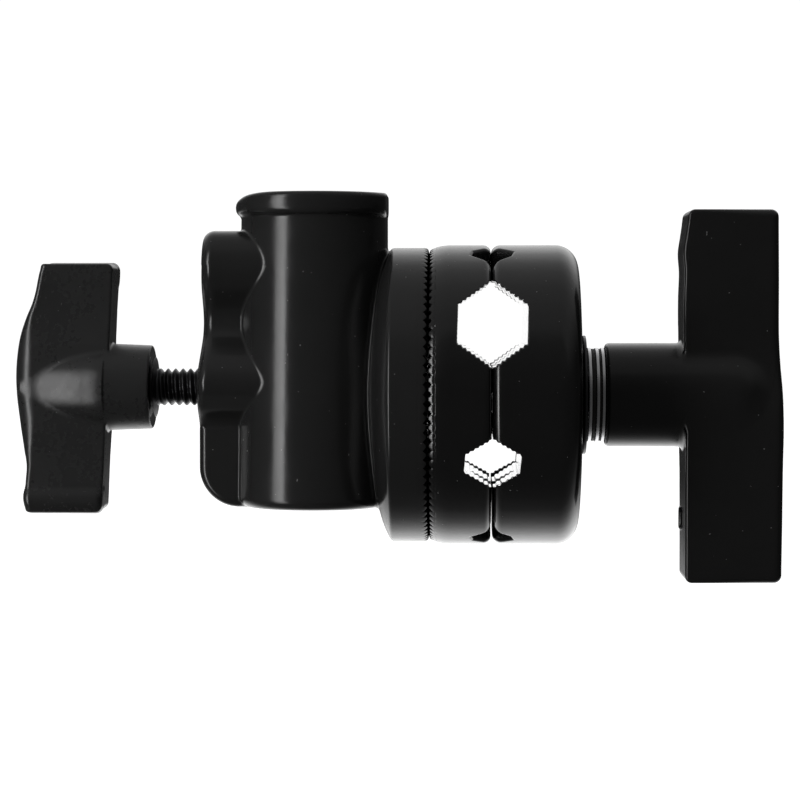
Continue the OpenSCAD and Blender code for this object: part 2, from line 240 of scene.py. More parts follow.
def cast(name, field, xs, ys, zs, bare=None):
    """Object on the zero surface of a field, with that field's own normals.
    Faces where bare() is true take the second material."""
    points, quads = net_mesh(field, xs, ys, zs)
    points, normals = settle(field, points)
    obj = piece(name, points, quads, normals)
    if bare:
        middle = points[quads].mean(1)
        obj.data.polygons.foreach_set("material_index", bare(*middle.T).astype(np.int32))
    return obj


def finish_mesh(obj, angle=35):
    """Outward faces, and smooth shading up to an angle."""
    bm = bmesh.new()
    bm.from_mesh(obj.data)
    bmesh.ops.remove_doubles(bm, verts=bm.verts, dist=1e-7)
    bmesh.ops.dissolve_degenerate(bm, edges=bm.edges, dist=1e-7)
    bmesh.ops.recalc_face_normals(bm, faces=bm.faces)
    bm.to_mesh(obj.data)
    bm.free()
    obj.data.shade_smooth()
    obj.data.set_sharp_from_angle(angle=math.radians(angle))
    return obj


def lathe(name, outline, sides=128):
    """Object turned round the X axis from a closed outline of [radius, x] points."""
    outline = np.array(outline, float)
    turn = np.linspace(0, 2 * math.pi, sides, endpoint=False)
    n = len(outline)
    points = np.stack([
        np.broadcast_to(outline[:, 1], (sides, n)),
        np.cos(turn)[:, None] * outline[:, 0],
        np.sin(turn)[:, None] * outline[:, 0],
    ], 2).reshape(-1, 3)
    i = np.arange(sides)[:, None] * n
    j = (np.arange(1, sides + 1) % sides)[:, None] * n
    a = np.arange(n)[None, :]
    b = (a + 1) % n
    faces = np.stack([i + a, i + b, j + b, j + a], 2).reshape(-1, 4)
    return finish_mesh(piece(name, points, faces))


def join(first, *others):
    """The first object, with the others made part of it."""
    with bpy.context.temp_override(
        active_object=first, object=first, selected_objects=[first, *others],
        selected_editable_objects=[first, *others],
    ):
        bpy.ops.object.join()
    return first


def bevelled(points, r, parts=3):
    """Outline with each corner rounded to radius r."""
    out = []
    n = len(points)
    for i in range(n):
        p, q, s = (np.array(points[k % n], float) for k in (i - 1, i, i + 1))
        a, b = (p - q) / np.linalg.norm(p - q), (s - q) / np.linalg.norm(s - q)
        half = math.acos(max(-1, min(1, float(a @ b)))) / 2
        back = r / math.tan(half) if half > 0.05 else 0
        back = min(back, np.linalg.norm(p - q) * 0.45, np.linalg.norm(s - q) * 0.45)
        for k in range(parts + 1):
            t = k / parts
            out.append((1 - t) ** 2 * (q + a * back) + 2 * t * (1 - t) * q + t * t * (q + b * back))
    return out


def tube(name, points, rows, sides, angle):
    """Solid skinned over rows of points, with a flat face on its first and its last row."""
    i = np.arange(rows - 1)[:, None] * sides
    j = np.arange(sides)[None, :]
    k = (j + 1) % sides
    faces = np.stack([i + j, i + k, i + sides + k, i + sides + j], 2).reshape(-1, 4)
    made = piece(name, points, faces)
    bm = bmesh.new()
    bm.from_mesh(made.data)
    bm.verts.ensure_lookup_table()
    for first in (0, (rows - 1) * sides):
        bm.faces.new([bm.verts[first + n] for n in range(sides)])
    bm.to_mesh(made.data)
    bm.free()
    return finish_mesh(made, angle)


def rod(name, x0, x1, radius, centre=(0, 0), sides=64, step=0.12):
    """Solid turned about a line along X, with radius(x, turn) between two flat ends."""
    turn = np.linspace(0, 2 * math.pi, sides, endpoint=False)
    xs = np.linspace(x0, x1, max(2, int((x1 - x0) / step) + 1))
    r = radius(xs[:, None], turn[None, :])
    x = np.broadcast_to(xs[:, None], r.shape)
    points = np.stack([x, centre[0] + r * np.cos(turn), centre[1] + r * np.sin(turn)], 2).reshape(-1, 3)
    return tube(name, points, len(xs), sides, 40)


def plain(r, x0, x1, chamfer):
    """Radius of a rod with chamfered ends, for rod()."""
    return lambda x, turn: r - np.maximum(chamfer - np.minimum(x - x0, x1 - x), 0) + 0 * turn


def threaded(r, pitch, depth, x0, x1, start, stop, chamfer):
    """Radius of a rod with a right-hand thread from start to stop, for rod()."""
    def radius(x, turn):
        phase = (x / pitch - turn / (2 * math.pi)) % 1
        ridge = np.clip(np.abs(2 * phase - 1) * 1.35 - 0.15, 0, 1)
        ease = np.clip(np.minimum(x - start, stop - x) / pitch, 0, 1)
        return plain(r, x0, x1, chamfer)(x, turn) - depth * (1 - ridge) * ease
    return radius


def coil(name, r, wire, turns, x0, x1, sides=12, per_turn=48):
    """Compression spring about X, its last turns lying closer together."""
    t = np.linspace(0, 1, int(turns * per_turn) + 1)
    lead = t - 0.035 * np.sin(4 * math.pi * t)
    x = x0 + wire + (x1 - x0 - 2 * wire) * lead
    a = 2 * math.pi * turns * t
    b = np.linspace(0, 2 * math.pi, sides, endpoint=False)
    out = r + wire * np.cos(b)[None, :]
    points = np.stack([
        x[:, None] + wire * np.sin(b)[None, :],
        out * np.cos(a)[:, None],
        out * np.sin(a)[:, None],
    ], 2).reshape(-1, 3)
    return tube(name, points, len(t), sides, 50)


def washer(name, r_in, r_out, x0, x1, edge=0.12):
    """Flat ring about X, its edges rounded to edge."""
    return lathe(name, bevelled([(r_in, x0), (r_out, x0), (r_out, x1), (r_in, x1)], edge))


# ------------------------------------------------------------------ castings

SCREW_Z = 1.6               # height of the wing screw's axis
SCREW_R, SCREW_PITCH = 3.95, 1.6
STUD_R, STUD_PITCH = 5, 1.5
GROOVE_X = 37.4             # X of the split between the jaws
JAW_R = 31.75
FLANGE_R = 31.2
TOOTH_R = 25.4              # inside radius of the toothed faces
TEETH = 100
PIN_Y, PIN_Z = (-21, 25), -1     # places of the alignment pins


def flank(p, q, teeth, depth=0.35):
    """Serrated line from p to q, without q."""
    p, q = np.array(p, float), np.array(q, float)
    along = (q - p) / teeth
    out = depth * np.array([along[1], -along[0]]) / np.linalg.norm(along)
    return [tuple(p + along * (i + k / 2) + out * k) for i in range(teeth) for k in (0, 1)]


def groove(u, v, half_u, half_v, flat, teeth, depth=0.35):
    """Six-sided groove with serrated flanks, about the middle of u and v."""
    low, high = (0, -half_v), (0, half_v)
    flanks = (
        (low, (half_u, -flat)), ((half_u, flat), high),
        (high, (-half_u, flat)), ((-half_u, -flat), low))
    return polygon(u, v, [point for p, q in flanks for point in flank(p, q, teeth, depth)])


def receiver(x, y, z):
    """Socket column, screw bosses, web and swivel flange."""
    screw_z = z - SCREW_Z
    # Socket column with its lip, cut flat towards the flange
    leaning = 0.012 * (38 - z) * (0.5 - 0.5 * np.tanh(x / 9))
    column = round_and(disc(x + leaning, y, 15.8), span(z, -23.8, 42), 2.3)
    lip = round_and(disc(x, y, 17.4) + 0.06 * (z - 40.4) ** 2, z - 42.6, 0.9)
    lip = round_and(lip, 37.7 - z, 1.5)
    worn = (np.hypot(np.maximum(-6.2 - x, 0) / 10.9, np.maximum(z - 39.5, 0) / 3.6) - 1) * 3.6
    lip = soft_and(lip, worn, 0.8)
    body = round_or(column, lip, 0.5)
    body = round_and(body, x - 15.35, 0.5)
    # Bosses, with a waist between them, over a plate that ends below
    width = curve(z, (
        (-8.5, 3.2), (-6.6, 3.7), (-5.1, 5.2), (-3.0, 7.9), (-1.0, 9.9), (0.5, 11.3), (2.6, 12.1),
        (5.1, 11.5), (7.5, 10.0), (10.0, 7.9), (12.5, 5.8), (15.3, 4.8), (18.0, 5.8), (20.5, 7.9),
        (22.5, 9.8), (24.7, 11.4), (27.4, 12.2)))
    flank_side = (np.abs(y) - width) * 0.78
    flank_side = np.where(z > 27.4, stadium(y, z - 27.4, 4.9, 7.3), flank_side)
    left = curve(z, (
        (-24, -24.6), (-9.0, -24.6), (-4.0, -24.6), (2.6, -24.6), (7.5, -24.15), (12.5, -23.8),
        (16.5, -23.75), (21.5, -23.7), (27.4, -23.45), (34, -23.4)))
    corner_x, corner_z = -16.2 - x, -15.4 - z
    outline = np.hypot(np.maximum(corner_x, 0), np.maximum(corner_z, 0)) - 8.4
    outline = outline + np.minimum(np.maximum(corner_x, corner_z), 0)
    blunt = curve(z, ((-7, 1.0), (-3, 1.2), (2, 2.4)))
    grip = round_and(flank_side, np.maximum(left - x, outline), blunt)
    web = round_and(np.maximum(outline, np.maximum(z + 2, x + 4)), np.abs(y) - 3.9, 1.7)
    web = round_and(web, z + 6.6, 0.8)
    grip = round_or(np.maximum(grip, x + 4), web, 0.25)
    body = round_or(body, grip, 0.45)
    # Flange: its teeth are a ring of their own
    r = np.hypot(y, z)
    cone = (11.5 + 0.14 * (r - 9.5) - x) / math.hypot(1, 0.14)
    edge = (13.9 + 0.62 * (r - 27.4) - x) / math.hypot(1, 0.62)
    flange = soft_and(r - FLANGE_R, soft_and(cone, edge, 2.0), 0.5)
    flange = round_and(flange, x - 22.9, 0.7)
    flange = np.maximum(flange, np.where(r > TOOTH_R, x - 22.6, -1))
    body = round_or(body, flange, 1.0)
    # Bores: the socket, the wing screw's, the stud's and the lock pin's
    body = cut(body, disc(x, y, 8.1), 0.7)
    screw_r = np.hypot(y, screw_z)
    body = cut(body, np.maximum(screw_r - 4.25, x), 0.6)
    body = cut(body, np.maximum(screw_r - 5.8, span(x, -22.8, -12.6)), 0.1)
    body = cut(body, np.maximum(r - 6.55, span(x, 9.6, 13.5)), 0.1)
    body = cut(body, np.maximum(r - 5.05, 13.4 - x), 0.3)
    return cut(body, np.maximum(disc(x - 11.4, z - 5.6, 1.53), 1.5 - y), 0.2)


def long_grooves(x, z):
    """The upper and the lower groove along Y."""
    u = x - GROOVE_X
    return groove(u, z - 15.1, 7.2, 8.6, 3.5, 8), groove(u, z + 13.1, 5.8, 4.9, 1.5, 6, 0.3)


def jaw_cuts(body, x, y, z, pin_r):
    """Grip grooves, stud bore, spring pocket and pin holes, cut from a jaw."""
    u = x - GROOVE_X
    upper, lower = long_grooves(x, z)
    body = cut(body, upper, 0.35)
    body = cut(body, lower, 0.15)
    body = cut(body, groove(u, y + 10.9, 4.3, 4.4, 0.9, 4, 0.02), 0.6)
    body = cut(body, groove(u, y - 14.5, 6.2, 7.0, 2.2, 7), 0.2)
    r = np.hypot(y, z)
    body = cut(body, r - 5.3, 0.4)
    body = cut(body, np.maximum(r - 6.35, span(x, 30.2, 44.6)), 0.1)
    for pin_y in PIN_Y:
        body = cut(body, np.maximum(disc(y - pin_y, z - PIN_Z, pin_r), 27 - x), 0.15)
    return body


def machined(x, y, z):
    """True on the flanks of the grooves along Y, which are cut after painting."""
    near = 0.12
    return (np.minimum(*long_grooves(x, z)) < near) & (np.hypot(y, z) < JAW_R - near)


def hub_face(x, y, z):
    """True on the wing knob's flat hub end, which is turned after painting."""
    return (x > -34.97) & (np.hypot(y, z - SCREW_Z) < 8.6)


def inner_jaw(x, y, z):
    """Jaw beside the flange, without its teeth."""
    r = np.hypot(y, z)
    # The rim curves in towards the teeth
    near = np.maximum(28.8 - x, 0)
    rim = (r - JAW_R + 0.045 * near ** 2) / np.hypot(1, 0.09 * near)
    body = round_and(rim, x - 37.2, 1.6)
    body = round_and(body, 25.15 - x, 0.15)
    body = np.maximum(body, np.where(r > TOOTH_R, 25.6 - x, -1))
    return jaw_cuts(body, x, y, z, 2.02)


def outer_jaw(x, y, z):
    """Jaw beside the handle."""
    r = np.hypot(y, z)
    body = round_and(r - JAW_R, 37.56 - 0.0053 * (z + 31) - x, 2.0)
    body = round_and(body, x - 55.6, 4.75)
    return jaw_cuts(body, x, y, z, 2.05)


def t_handle(x, y, z):
    """T-handle: a tapering hub and a bar across its end."""
    r = np.hypot(y, z)
    nose = (np.hypot(r / 11.0, np.maximum(x - 88.0, 0) / 10.7) - 1) * 11.0
    # Bar, thinnest at its ends, with the hub's nose flowing into it
    plate = np.abs(y) - 7.4 + 0.012 * np.maximum(np.abs(z) - 12, 0) + 1.5 * np.exp(-((z - 9) / 5) ** 2)
    swell = np.abs(y) - 7.4 - 2.2 * np.exp(-((z + 5) / 8.5) ** 2)
    bar = soft_or(plate, swell, 1.0)
    right = x - curve(z, (
        (-40, 98.4), (-25, 98.55), (-5, 98.5), (2, 98.3), (6, 98.0), (12, 97.7), (25, 97.6), (40, 97.5)))
    left = curve(z, (
        (-40, 78.1), (-12, 78.0), (8, 77.7), (21, 77.6), (26, 77.75), (30.4, 77.5), (34, 78.0),
        (37, 78.4), (40, 78.6))) - x
    ends = span(z, -39.45, 39.1)
    outline = np.maximum(round_and(left, ends, 1.4), round_and(right, ends, 1.6))
    bar = round_and(bar, outline, curve(x, ((80, 0.7), (96, 1.7))))
    hub = round_and(nose, 61.45 - x, 0.9)
    body = round_or(hub, bar, 1.2)
    # Gate mark on the inner face
    mark = round_and(stadium(z + 26.5, y - 3.6, 1.4, 1.1), span(x, 77.6, 80), 0.25)
    body = round_or(body, mark, 0.2)
    body = cut(body, np.maximum(r - 5.6, x - 89), 0.5)
    return cut(body, np.maximum(r - 7.55, span(x, 62.6, 78)), 0.1)


def wing_knob(x, y, z):
    """Wing knob, about the screw's own axis."""
    z = z - SCREW_Z
    r = np.hypot(y, z)
    # Hub, and a nose whose front and back slope away from it
    hub = round_and(r - 8.9 + 0.04 * (x + 34.9), x + 34.9, 0.35)
    hub = np.maximum(hub, -45 - x)
    deep = curve(x, (
        (-64.0, 4.6), (-62.0, 5.05), (-60.0, 5.55), (-57.5, 6.25), (-55.0, 6.95), (-52.0, 7.8),
        (-49.0, 8.6), (-45.0, 9.5), (-44.0, 9.6)))
    tall = curve(x, (
        (-63.0, 3.6), (-61.9, 4.5), (-60.0, 5.8), (-57.9, 6.9), (-53.7, 8.0), (-49.0, 8.6), (-45.3, 8.9)))
    p = 2.05
    nose = (((np.abs(y) / deep) ** p + (np.abs(z) / tall) ** p) ** (1 / p) - 1) * 6.5
    nose = round_and(nose, np.maximum(x + 44.3, -62.9 - x), 0.3)
    hub = np.minimum(hub, nose)
    # Wings with a bead on the front of one end and on the back of the other
    side = np.sign(z)
    s = np.abs(z)
    lean = math.radians(3)
    back = (x + 43.95 - math.tan(lean) * z) * math.cos(lean)
    front = curve(z, (
        (-26.5, -61.5), (-23.6, -61.9), (-20.1, -61.6), (-16.3, -61.45), (-13.3, -62.0), (-7.6, -63.0),
        (-1.6, -63.75), (2.4, -63.9), (6.7, -63.6), (11.2, -62.7), (14.5, -61.5), (17.9, -60.0),
        (23.8, -58.5), (26.3, -58.0))) - x
    sheet = np.abs(y) - 5.5 + 0.5 * np.sin(np.clip((s - 9) / 14, 0, 1) * math.pi)
    blunt = 1.0 + 2.8 * np.exp(-(z / 13) ** 4)
    wings = round_and(sheet, front * 0.93, blunt)
    wings = round_and(wings, round_and(back, np.where(z > 0, z - 26.2, -26.5 - z), 1.4), 0.5)
    bead = np.hypot(y - side * 3.3, np.where(z > 0, z - 23.55, z + 23.85)) - 3.0
    bead = round_and(bead, np.maximum(front * 0.93, back), 1.3)
    wings = soft_or(wings, bead, 0.6)
    body = round_or(hub, wings, 0.5)
    return cut(body, np.maximum(r - 3.97, span(x, -57, 0)), 0.25)


def tooth_ring(name, base, tip, root, rim, direction):
    """Ring of radial teeth. rim gives [radius, x] points from the tips round to the outer edge."""
    inside = 25.5
    radii = [inside, 27.0, 28.5] + [p[0] for p in rim]
    level = [tip] * 3 + [p[1] for p in rim]
    per = 12
    turn = np.arange(TEETH * per) * 2 * math.pi / (TEETH * per)
    wave = np.abs((np.arange(TEETH * per) % per) / per * 2 - 1)   # 0 in the gap's middle, 1 at the tip
    height = root + (tip - root) * np.clip(wave * 1.12, 0, 1)
    rows = []
    rows.append(np.stack([np.full_like(turn, base), inside * np.cos(turn), inside * np.sin(turn)], 1))
    for r, x in zip(radii, level):
        top = np.minimum(height, x) if direction > 0 else np.maximum(height, x)
        rows.append(np.stack([top, r * np.cos(turn), r * np.sin(turn)], 1))
    r = radii[-1]
    rows.append(np.stack([np.full_like(turn, base), r * np.cos(turn), r * np.sin(turn)], 1))
    points = np.concatenate(rows)
    n, m = len(turn), len(rows)
    k = np.arange(n)[None, :]
    j = (np.arange(n)[None, :] + 1) % n
    a = np.arange(m)[:, None] * n
    b = ((np.arange(m) + 1) % m)[:, None] * n
    faces = np.stack([a + k, a + j, b + j, b + k], 2).reshape(-1, 4)
    return finish_mesh(piece(name, points, faces), 25)


# ------------------------------------------------------------------ studio

def place_camera(scene):
    """Telephoto camera in front of the part, looking slightly down and to the left."""
    data = bpy.data.cameras.new("camera")
    data.lens = 109.8
    data.sensor_width = 36
    data.clip_start = 0.01
    data.clip_end = 50
    camera = bpy.data.objects.new("camera", data)
    scene.collection.objects.link(camera)
    camera.location = (0.0318, -0.520, 0.0159)
    left, down = 0.0266502665, 0.032800328      # slopes of the line of sight
    camera.rotation_euler = Vector((-left, 1, -down)).to_track_quat("-Z", "Y").to_euler()
    scene.camera = camera


def light_world(scene):
    """Brightness by direction, with a plain white background for the camera."""
    world = bpy.data.worlds.new("studio")
    world.use_nodes = True
    scene.world = world
    nodes, links = world.node_tree.nodes, world.node_tree.links
    nodes.clear()

    def node(kind, **values):
        made = nodes.new(kind)
        for key, value in values.items():
            setattr(made, key, value)
        return made

    where = node("ShaderNodeTexCoord")
    split = node("ShaderNodeSeparateXYZ")
    links.new(where.outputs["Generated"], split.inputs[0])

    def ramp(stops):
        made = node("ShaderNodeValToRGB")
        made.color_ramp.interpolation = "EASE"
        while len(made.color_ramp.elements) < len(stops):
            made.color_ramp.elements.new(0.5)
        for element, (place, level) in zip(made.color_ramp.elements, stops):
            element.position = place
            element.color = (level, level, level, 1)
        return made

    def arithmetic(kind, a, b):
        made = node("ShaderNodeMath", operation=kind)
        for socket, value in zip(made.inputs, (a, b)):
            if isinstance(value, (int, float)):
                socket.default_value = value
            else:
                links.new(value, socket)
        return made.outputs[0]

    def smooth(value, low, high):
        made = node("ShaderNodeMapRange", interpolation_type="SMOOTHSTEP")
        made.inputs["From Min"].default_value = low
        made.inputs["From Max"].default_value = high
        links.new(value, made.inputs["Value"])
        return made.outputs[0]

    def blend(factor, a, b):
        made = node("ShaderNodeMix", data_type="RGBA")
        for key, value in (("Factor", factor), ("A", a), ("B", b)):
            links.new(value, made.inputs[key])
        return made.outputs["Result"]

    # One ramp overhead, one underneath and a dark one at the sides, each from -Y round to +Y
    depth = node("ShaderNodeMapRange")
    depth.inputs["From Min"].default_value = -1
    links.new(split.outputs["Y"], depth.inputs["Value"])
    above = ramp([
        (0.01, 0.035), (0.117, 0.055), (0.22, 0.12), (0.48, 0.155), (0.655, 0.195), (0.75, 0.25),
        (0.86, 0.42), (0.93, 0.58)])
    below = ramp([
        (0.3, 0.035), (0.413, 0.045), (0.552, 0.072), (0.621, 0.156), (0.687, 0.26), (0.75, 0.49),
        (0.808, 0.756), (0.87, 1.0)])
    beside = ramp([(0.0, 0.032), (0.3, 0.032), (0.6, 0.018), (0.96, 0.022), (1.0, 0.012)])
    for made in (above, below, beside):
        links.new(depth.outputs[0], made.inputs[0])
    flat = arithmetic("SUBTRACT", 1.0, arithmetic("MULTIPLY", split.outputs["Y"], split.outputs["Y"]))
    length = arithmetic("SQRT", arithmetic("MAXIMUM", flat, 0.0001), 0.0)
    upright = arithmetic("DIVIDE", split.outputs["Z"], length)
    over = arithmetic("MULTIPLY", smooth(upright, 0.2, 0.8), smooth(split.outputs["Z"], 0.06, 0.2))
    under = arithmetic("MULTIPLY", smooth(upright, -0.2, -0.8), smooth(split.outputs["Z"], -0.06, -0.2))
    level = blend(over, beside.outputs[0], above.outputs[0])
    level = blend(under, level, below.outputs[0])
    around = node("ShaderNodeBackground")
    around.inputs["Strength"].default_value = 1.8
    links.new(level, around.inputs["Color"])
    seen = node("ShaderNodeBackground")
    seen.inputs["Color"].default_value = (1, 1, 1, 1)
    seen.inputs["Strength"].default_value = 1.05
    path = node("ShaderNodeLightPath")
    choose = node("ShaderNodeMixShader")
    links.new(path.outputs["Is Camera Ray"], choose.inputs[0])
    links.new(around.outputs[0], choose.inputs[1])
    links.new(seen.outputs[0], choose.inputs[2])
    out = node("ShaderNodeOutputWorld")
    links.new(choose.outputs[0], out.inputs["Surface"])


def panel(scene, name, corners, material):
    """Four-cornered sheet, in metres."""
    mesh = bpy.data.meshes.new(name)
    mesh.from_pydata(corners, [], [(0, 1, 2, 3)])
    mesh.materials.append(material)
    made = bpy.data.objects.new(name, mesh)
    scene.collection.objects.link(made)
    return made


def glowing(name):
    """Material that only shines, its node tree and its strength socket."""
    material = bpy.data.materials.new(name)
    material.use_nodes = True
    tree = material.node_tree
    tree.nodes.clear()
    emit = tree.nodes.new("ShaderNodeEmission")
    out = tree.nodes.new("ShaderNodeOutputMaterial")
    tree.links.new(emit.outputs[0], out.inputs["Surface"])
    return material, tree, emit.inputs["Strength"]


def hang_softbox(scene):
    """Tall softbox in front, to the left, brighter along its side towards the camera and fading to its
    ends."""
    turn = math.radians(51)
    reach = 0.65
    half_w = reach * math.tan(math.radians(9))
    half_h = reach * math.tan(math.radians(47))
    glow, tree, strength = glowing("softbox_glow")
    softbox = panel(scene, "softbox", [
        (-half_w, -half_h, 0), (half_w, -half_h, 0), (half_w, half_h, 0), (-half_w, half_h, 0)], glow)
    away = Vector((-math.sin(turn), -math.cos(turn), 0)).normalized()
    softbox.location = away * reach
    softbox.rotation_euler = away.to_track_quat("Z", "Y").to_euler()
    softbox.visible_camera = False
    where = tree.nodes.new("ShaderNodeTexCoord")
    split = tree.nodes.new("ShaderNodeSeparateXYZ")
    tree.links.new(where.outputs["Object"], split.inputs[0])
    across = tree.nodes.new("ShaderNodeMapRange")
    across.inputs["From Min"].default_value = -half_w
    across.inputs["From Max"].default_value = half_w
    across.inputs["To Min"].default_value = 3.0
    across.inputs["To Max"].default_value = 7.5
    tree.links.new(split.outputs["X"], across.inputs["Value"])
    fade = tree.nodes.new("ShaderNodeMath")
    fade.operation = "ABSOLUTE"
    tree.links.new(split.outputs["Y"], fade.inputs[0])
    ends = tree.nodes.new("ShaderNodeMapRange")
    ends.interpolation_type = "SMOOTHSTEP"
    ends.inputs["From Min"].default_value = half_h * 0.15
    ends.inputs["From Max"].default_value = half_h
    ends.inputs["To Min"].default_value = 1.05
    ends.inputs["To Max"].default_value = 0.0
    tree.links.new(fade.outputs[0], ends.inputs["Value"])
    level = tree.nodes.new("ShaderNodeMath")
    level.operation = "MULTIPLY"
    tree.links.new(across.outputs[0], level.inputs[0])
    tree.links.new(ends.outputs[0], level.inputs[1])
    tree.links.new(level.outputs[0], strength)


def hang_card(scene):
    """Small white card close behind the jaws, which shows in the bare flanks of their grooves."""
    left, right, back, bottom, top = 0.027, 0.048, 0.062, -0.022, 0.03
    white, _, strength = glowing("card_white")
    strength.default_value = 1.1
    card = panel(scene, "card", [
        (left, back, bottom), (right, back, bottom), (right, back, top), (left, back, top)], white)
    card.visible_camera = False


def lay_floor(scene):
    """Floor well below the part, pale enough to fade into the backdrop."""
    size = 4.0
    low = -0.14
    pale = bpy.data.materials.new("pale_floor")
    pale.use_nodes = True
    shader = pale.node_tree.nodes["Principled BSDF"]
    shader.inputs["Base Color"].default_value = (0.9, 0.9, 0.9, 1)
    shader.inputs["Roughness"].default_value = 0.7
    shader.inputs["Emission Color"].default_value = (1, 1, 1, 1)
    shader.inputs["Emission Strength"].default_value = 0.85
    floor = panel(scene, "floor", [
        (-size, -size, low), (size, -size, low), (size, size, low), (-size, size, low)], pale)
    floor.visible_glossy = False
    floor.visible_diffuse = False


def studio():
    scene = bpy.context.scene
    scene.view_settings.view_transform = "Standard"
    scene.view_settings.look = "None"
    place_camera(scene)
    light_world(scene)
    hang_softbox(scene)
    hang_card(scene)
    lay_floor(scene)


# ------------------------------------------------------------------ finishes

class Finish:
    """A procedural material being built."""

    def __init__(self, name):
        self.material = bpy.data.materials.new(name)
        self.material.use_nodes = True
        self.nodes = self.material.node_tree.nodes
        self.links = self.material.node_tree.links
        self.shader = self.nodes["Principled BSDF"]
        self.where = self.nodes.new("ShaderNodeTexCoord").outputs["Object"]

    def noise(self, scale, detail=3, rough=0.5, stretch=None):
        made = self.nodes.new("ShaderNodeTexNoise")
        made.inputs["Scale"].default_value = scale
        made.inputs["Detail"].default_value = detail
        made.inputs["Roughness"].default_value = rough
        where = self.where
        if stretch:
            mapping = self.nodes.new("ShaderNodeMapping")
            mapping.inputs["Scale"].default_value = stretch
            self.links.new(where, mapping.inputs["Vector"])
            where = mapping.outputs[0]
        self.links.new(where, made.inputs["Vector"])
        return made.outputs["Fac"]

    def ranged(self, value, low, high, to_low=0.0, to_high=1.0):
        made = self.nodes.new("ShaderNodeMapRange")
        made.interpolation_type = "SMOOTHSTEP"
        ends = {"From Min": low, "From Max": high, "To Min": to_low, "To Max": to_high}
        for key, number in ends.items():
            made.inputs[key].default_value = number
        self.links.new(value, made.inputs["Value"])
        return made.outputs[0]

    def math(self, kind, a, b):
        made = self.nodes.new("ShaderNodeMath")
        made.operation = kind
        for socket, value in zip(made.inputs, (a, b)):
            if isinstance(value, (int, float)):
                socket.default_value = value
            else:
                self.links.new(value, socket)
        return made.outputs[0]

    def colour(self, factor, a, b):
        made = self.nodes.new("ShaderNodeMix")
        made.data_type = "RGBA"
        self.links.new(factor, made.inputs["Factor"])
        for key, value in (("A", a), ("B", b)):
            if isinstance(value, tuple):
                made.inputs[key].default_value = (*value, 1)
            else:
                self.links.new(value, made.inputs[key])
        return made.outputs["Result"]

    def bump(self, height, distance, strength=1.0, after=None):
        made = self.nodes.new("ShaderNodeBump")
        made.inputs["Distance"].default_value = distance
        made.inputs["Strength"].default_value = strength
        self.links.new(height, made.inputs["Height"])
        if after:
            self.links.new(after, made.inputs["Normal"])
        return made.outputs[0]

    def set(self, **values):
        for key, value in values.items():
            socket = self.shader.inputs[key.replace("_", " ")]
            if isinstance(value, tuple):
                socket.default_value = (*value, 1)
            elif isinstance(value, (int, float)):
                socket.default_value = value
            else:
                self.links.new(value, socket)
        return self.material


def enamel(name, dark, light, low, high, ior, lumps=1.0):
    """Glossy black paint over a sand casting: darkest and lightest grey, lowest and highest roughness."""
    f = Finish(name)
    cloudy = f.noise(60, 4, 0.6)
    fine = f.noise(900, 3, 0.6)
    colour = f.colour(cloudy, (dark, dark, dark), (light, light, light))
    rough = f.math("ADD", f.ranged(cloudy, 0.35, 0.7, low, high), f.ranged(fine, 0.3, 0.7, -0.02, 0.02))
    speck = f.ranged(f.noise(1500, 0, 0.5), 0.865, 0.885)
    colour = f.colour(speck, colour, (0.22, 0.22, 0.22))
    waves = f.bump(f.noise(420, 2, 0.5), 0.00003 * lumps, 0.5)
    peel = f.bump(fine, 0.000006, 0.6, waves)
    return f.set(Base_Color=colour, Roughness=rough, Normal=peel, IOR=ior)


def steel(name, dark, light, rough, grain=(1, 1, 1)):
    """Bare or blackened metal with fine tool marks."""
    f = Finish(name)
    marks = f.noise(800, 4, 0.65, grain)
    cloud = f.noise(90, 3, 0.5)
    colour = f.colour(cloud, dark, light)
    gloss = f.math("ADD", f.ranged(marks, 0.3, 0.7, rough - 0.06, rough + 0.1),
                   f.ranged(cloud, 0.3, 0.7, -0.03, 0.05))
    return f.set(Base_Color=colour, Roughness=gloss, Metallic=1.0, Normal=f.bump(marks, 0.000008, 0.5))


def friction():
    """Dark fibre of the friction washers."""
    f = Finish("friction_fibre")
    speck = f.noise(1500, 4, 0.7)
    colour = f.colour(speck, (0.012, 0.011, 0.01), (0.035, 0.032, 0.03))
    return f.set(Base_Color=colour, Roughness=f.ranged(speck, 0.3, 0.7, 0.5, 0.75),
                 Normal=f.bump(speck, 0.00003, 0.5))


def machined_metal():
    """Bright, smooth metal where a tool has taken the paint off."""
    f = Finish("machined_metal")
    marks = f.noise(900, 3, 0.6, (1, 0.1, 1))
    colour = f.colour(marks, (0.84, 0.84, 0.84), (0.93, 0.93, 0.93))
    return f.set(Base_Color=colour, Roughness=f.ranged(marks, 0.3, 0.7, 0.1, 0.16), Metallic=1.0,
                 Normal=f.bump(marks, 0.00001, 0.4))


studio()
body_paint = enamel("black_enamel", 0.022, 0.03, 0.17, 0.24, 1.45)
jaw_paint = enamel("jaw_enamel", 0.005, 0.009, 0.15, 0.2, 1.6)
knob_paint = enamel("knob_enamel", 0.024, 0.034, 0.25, 0.33, 1.5, 2.5)
handle_paint = enamel("handle_enamel", 0.014, 0.02, 0.17, 0.24, 1.45)
black_steel = steel("black_oxide_steel", (0.045, 0.045, 0.047), (0.08, 0.08, 0.083), 0.34)
bright_steel = steel("turned_steel", (0.55, 0.55, 0.56), (0.68, 0.68, 0.69), 0.22, (0.12, 1, 1))
spring_steel = steel("spring_steel", (0.35, 0.35, 0.36), (0.5, 0.5, 0.51), 0.28)
brass = steel("brass", (0.55, 0.36, 0.13), (0.68, 0.47, 0.2), 0.3)
fibre = friction()
bare_metal = machined_metal()

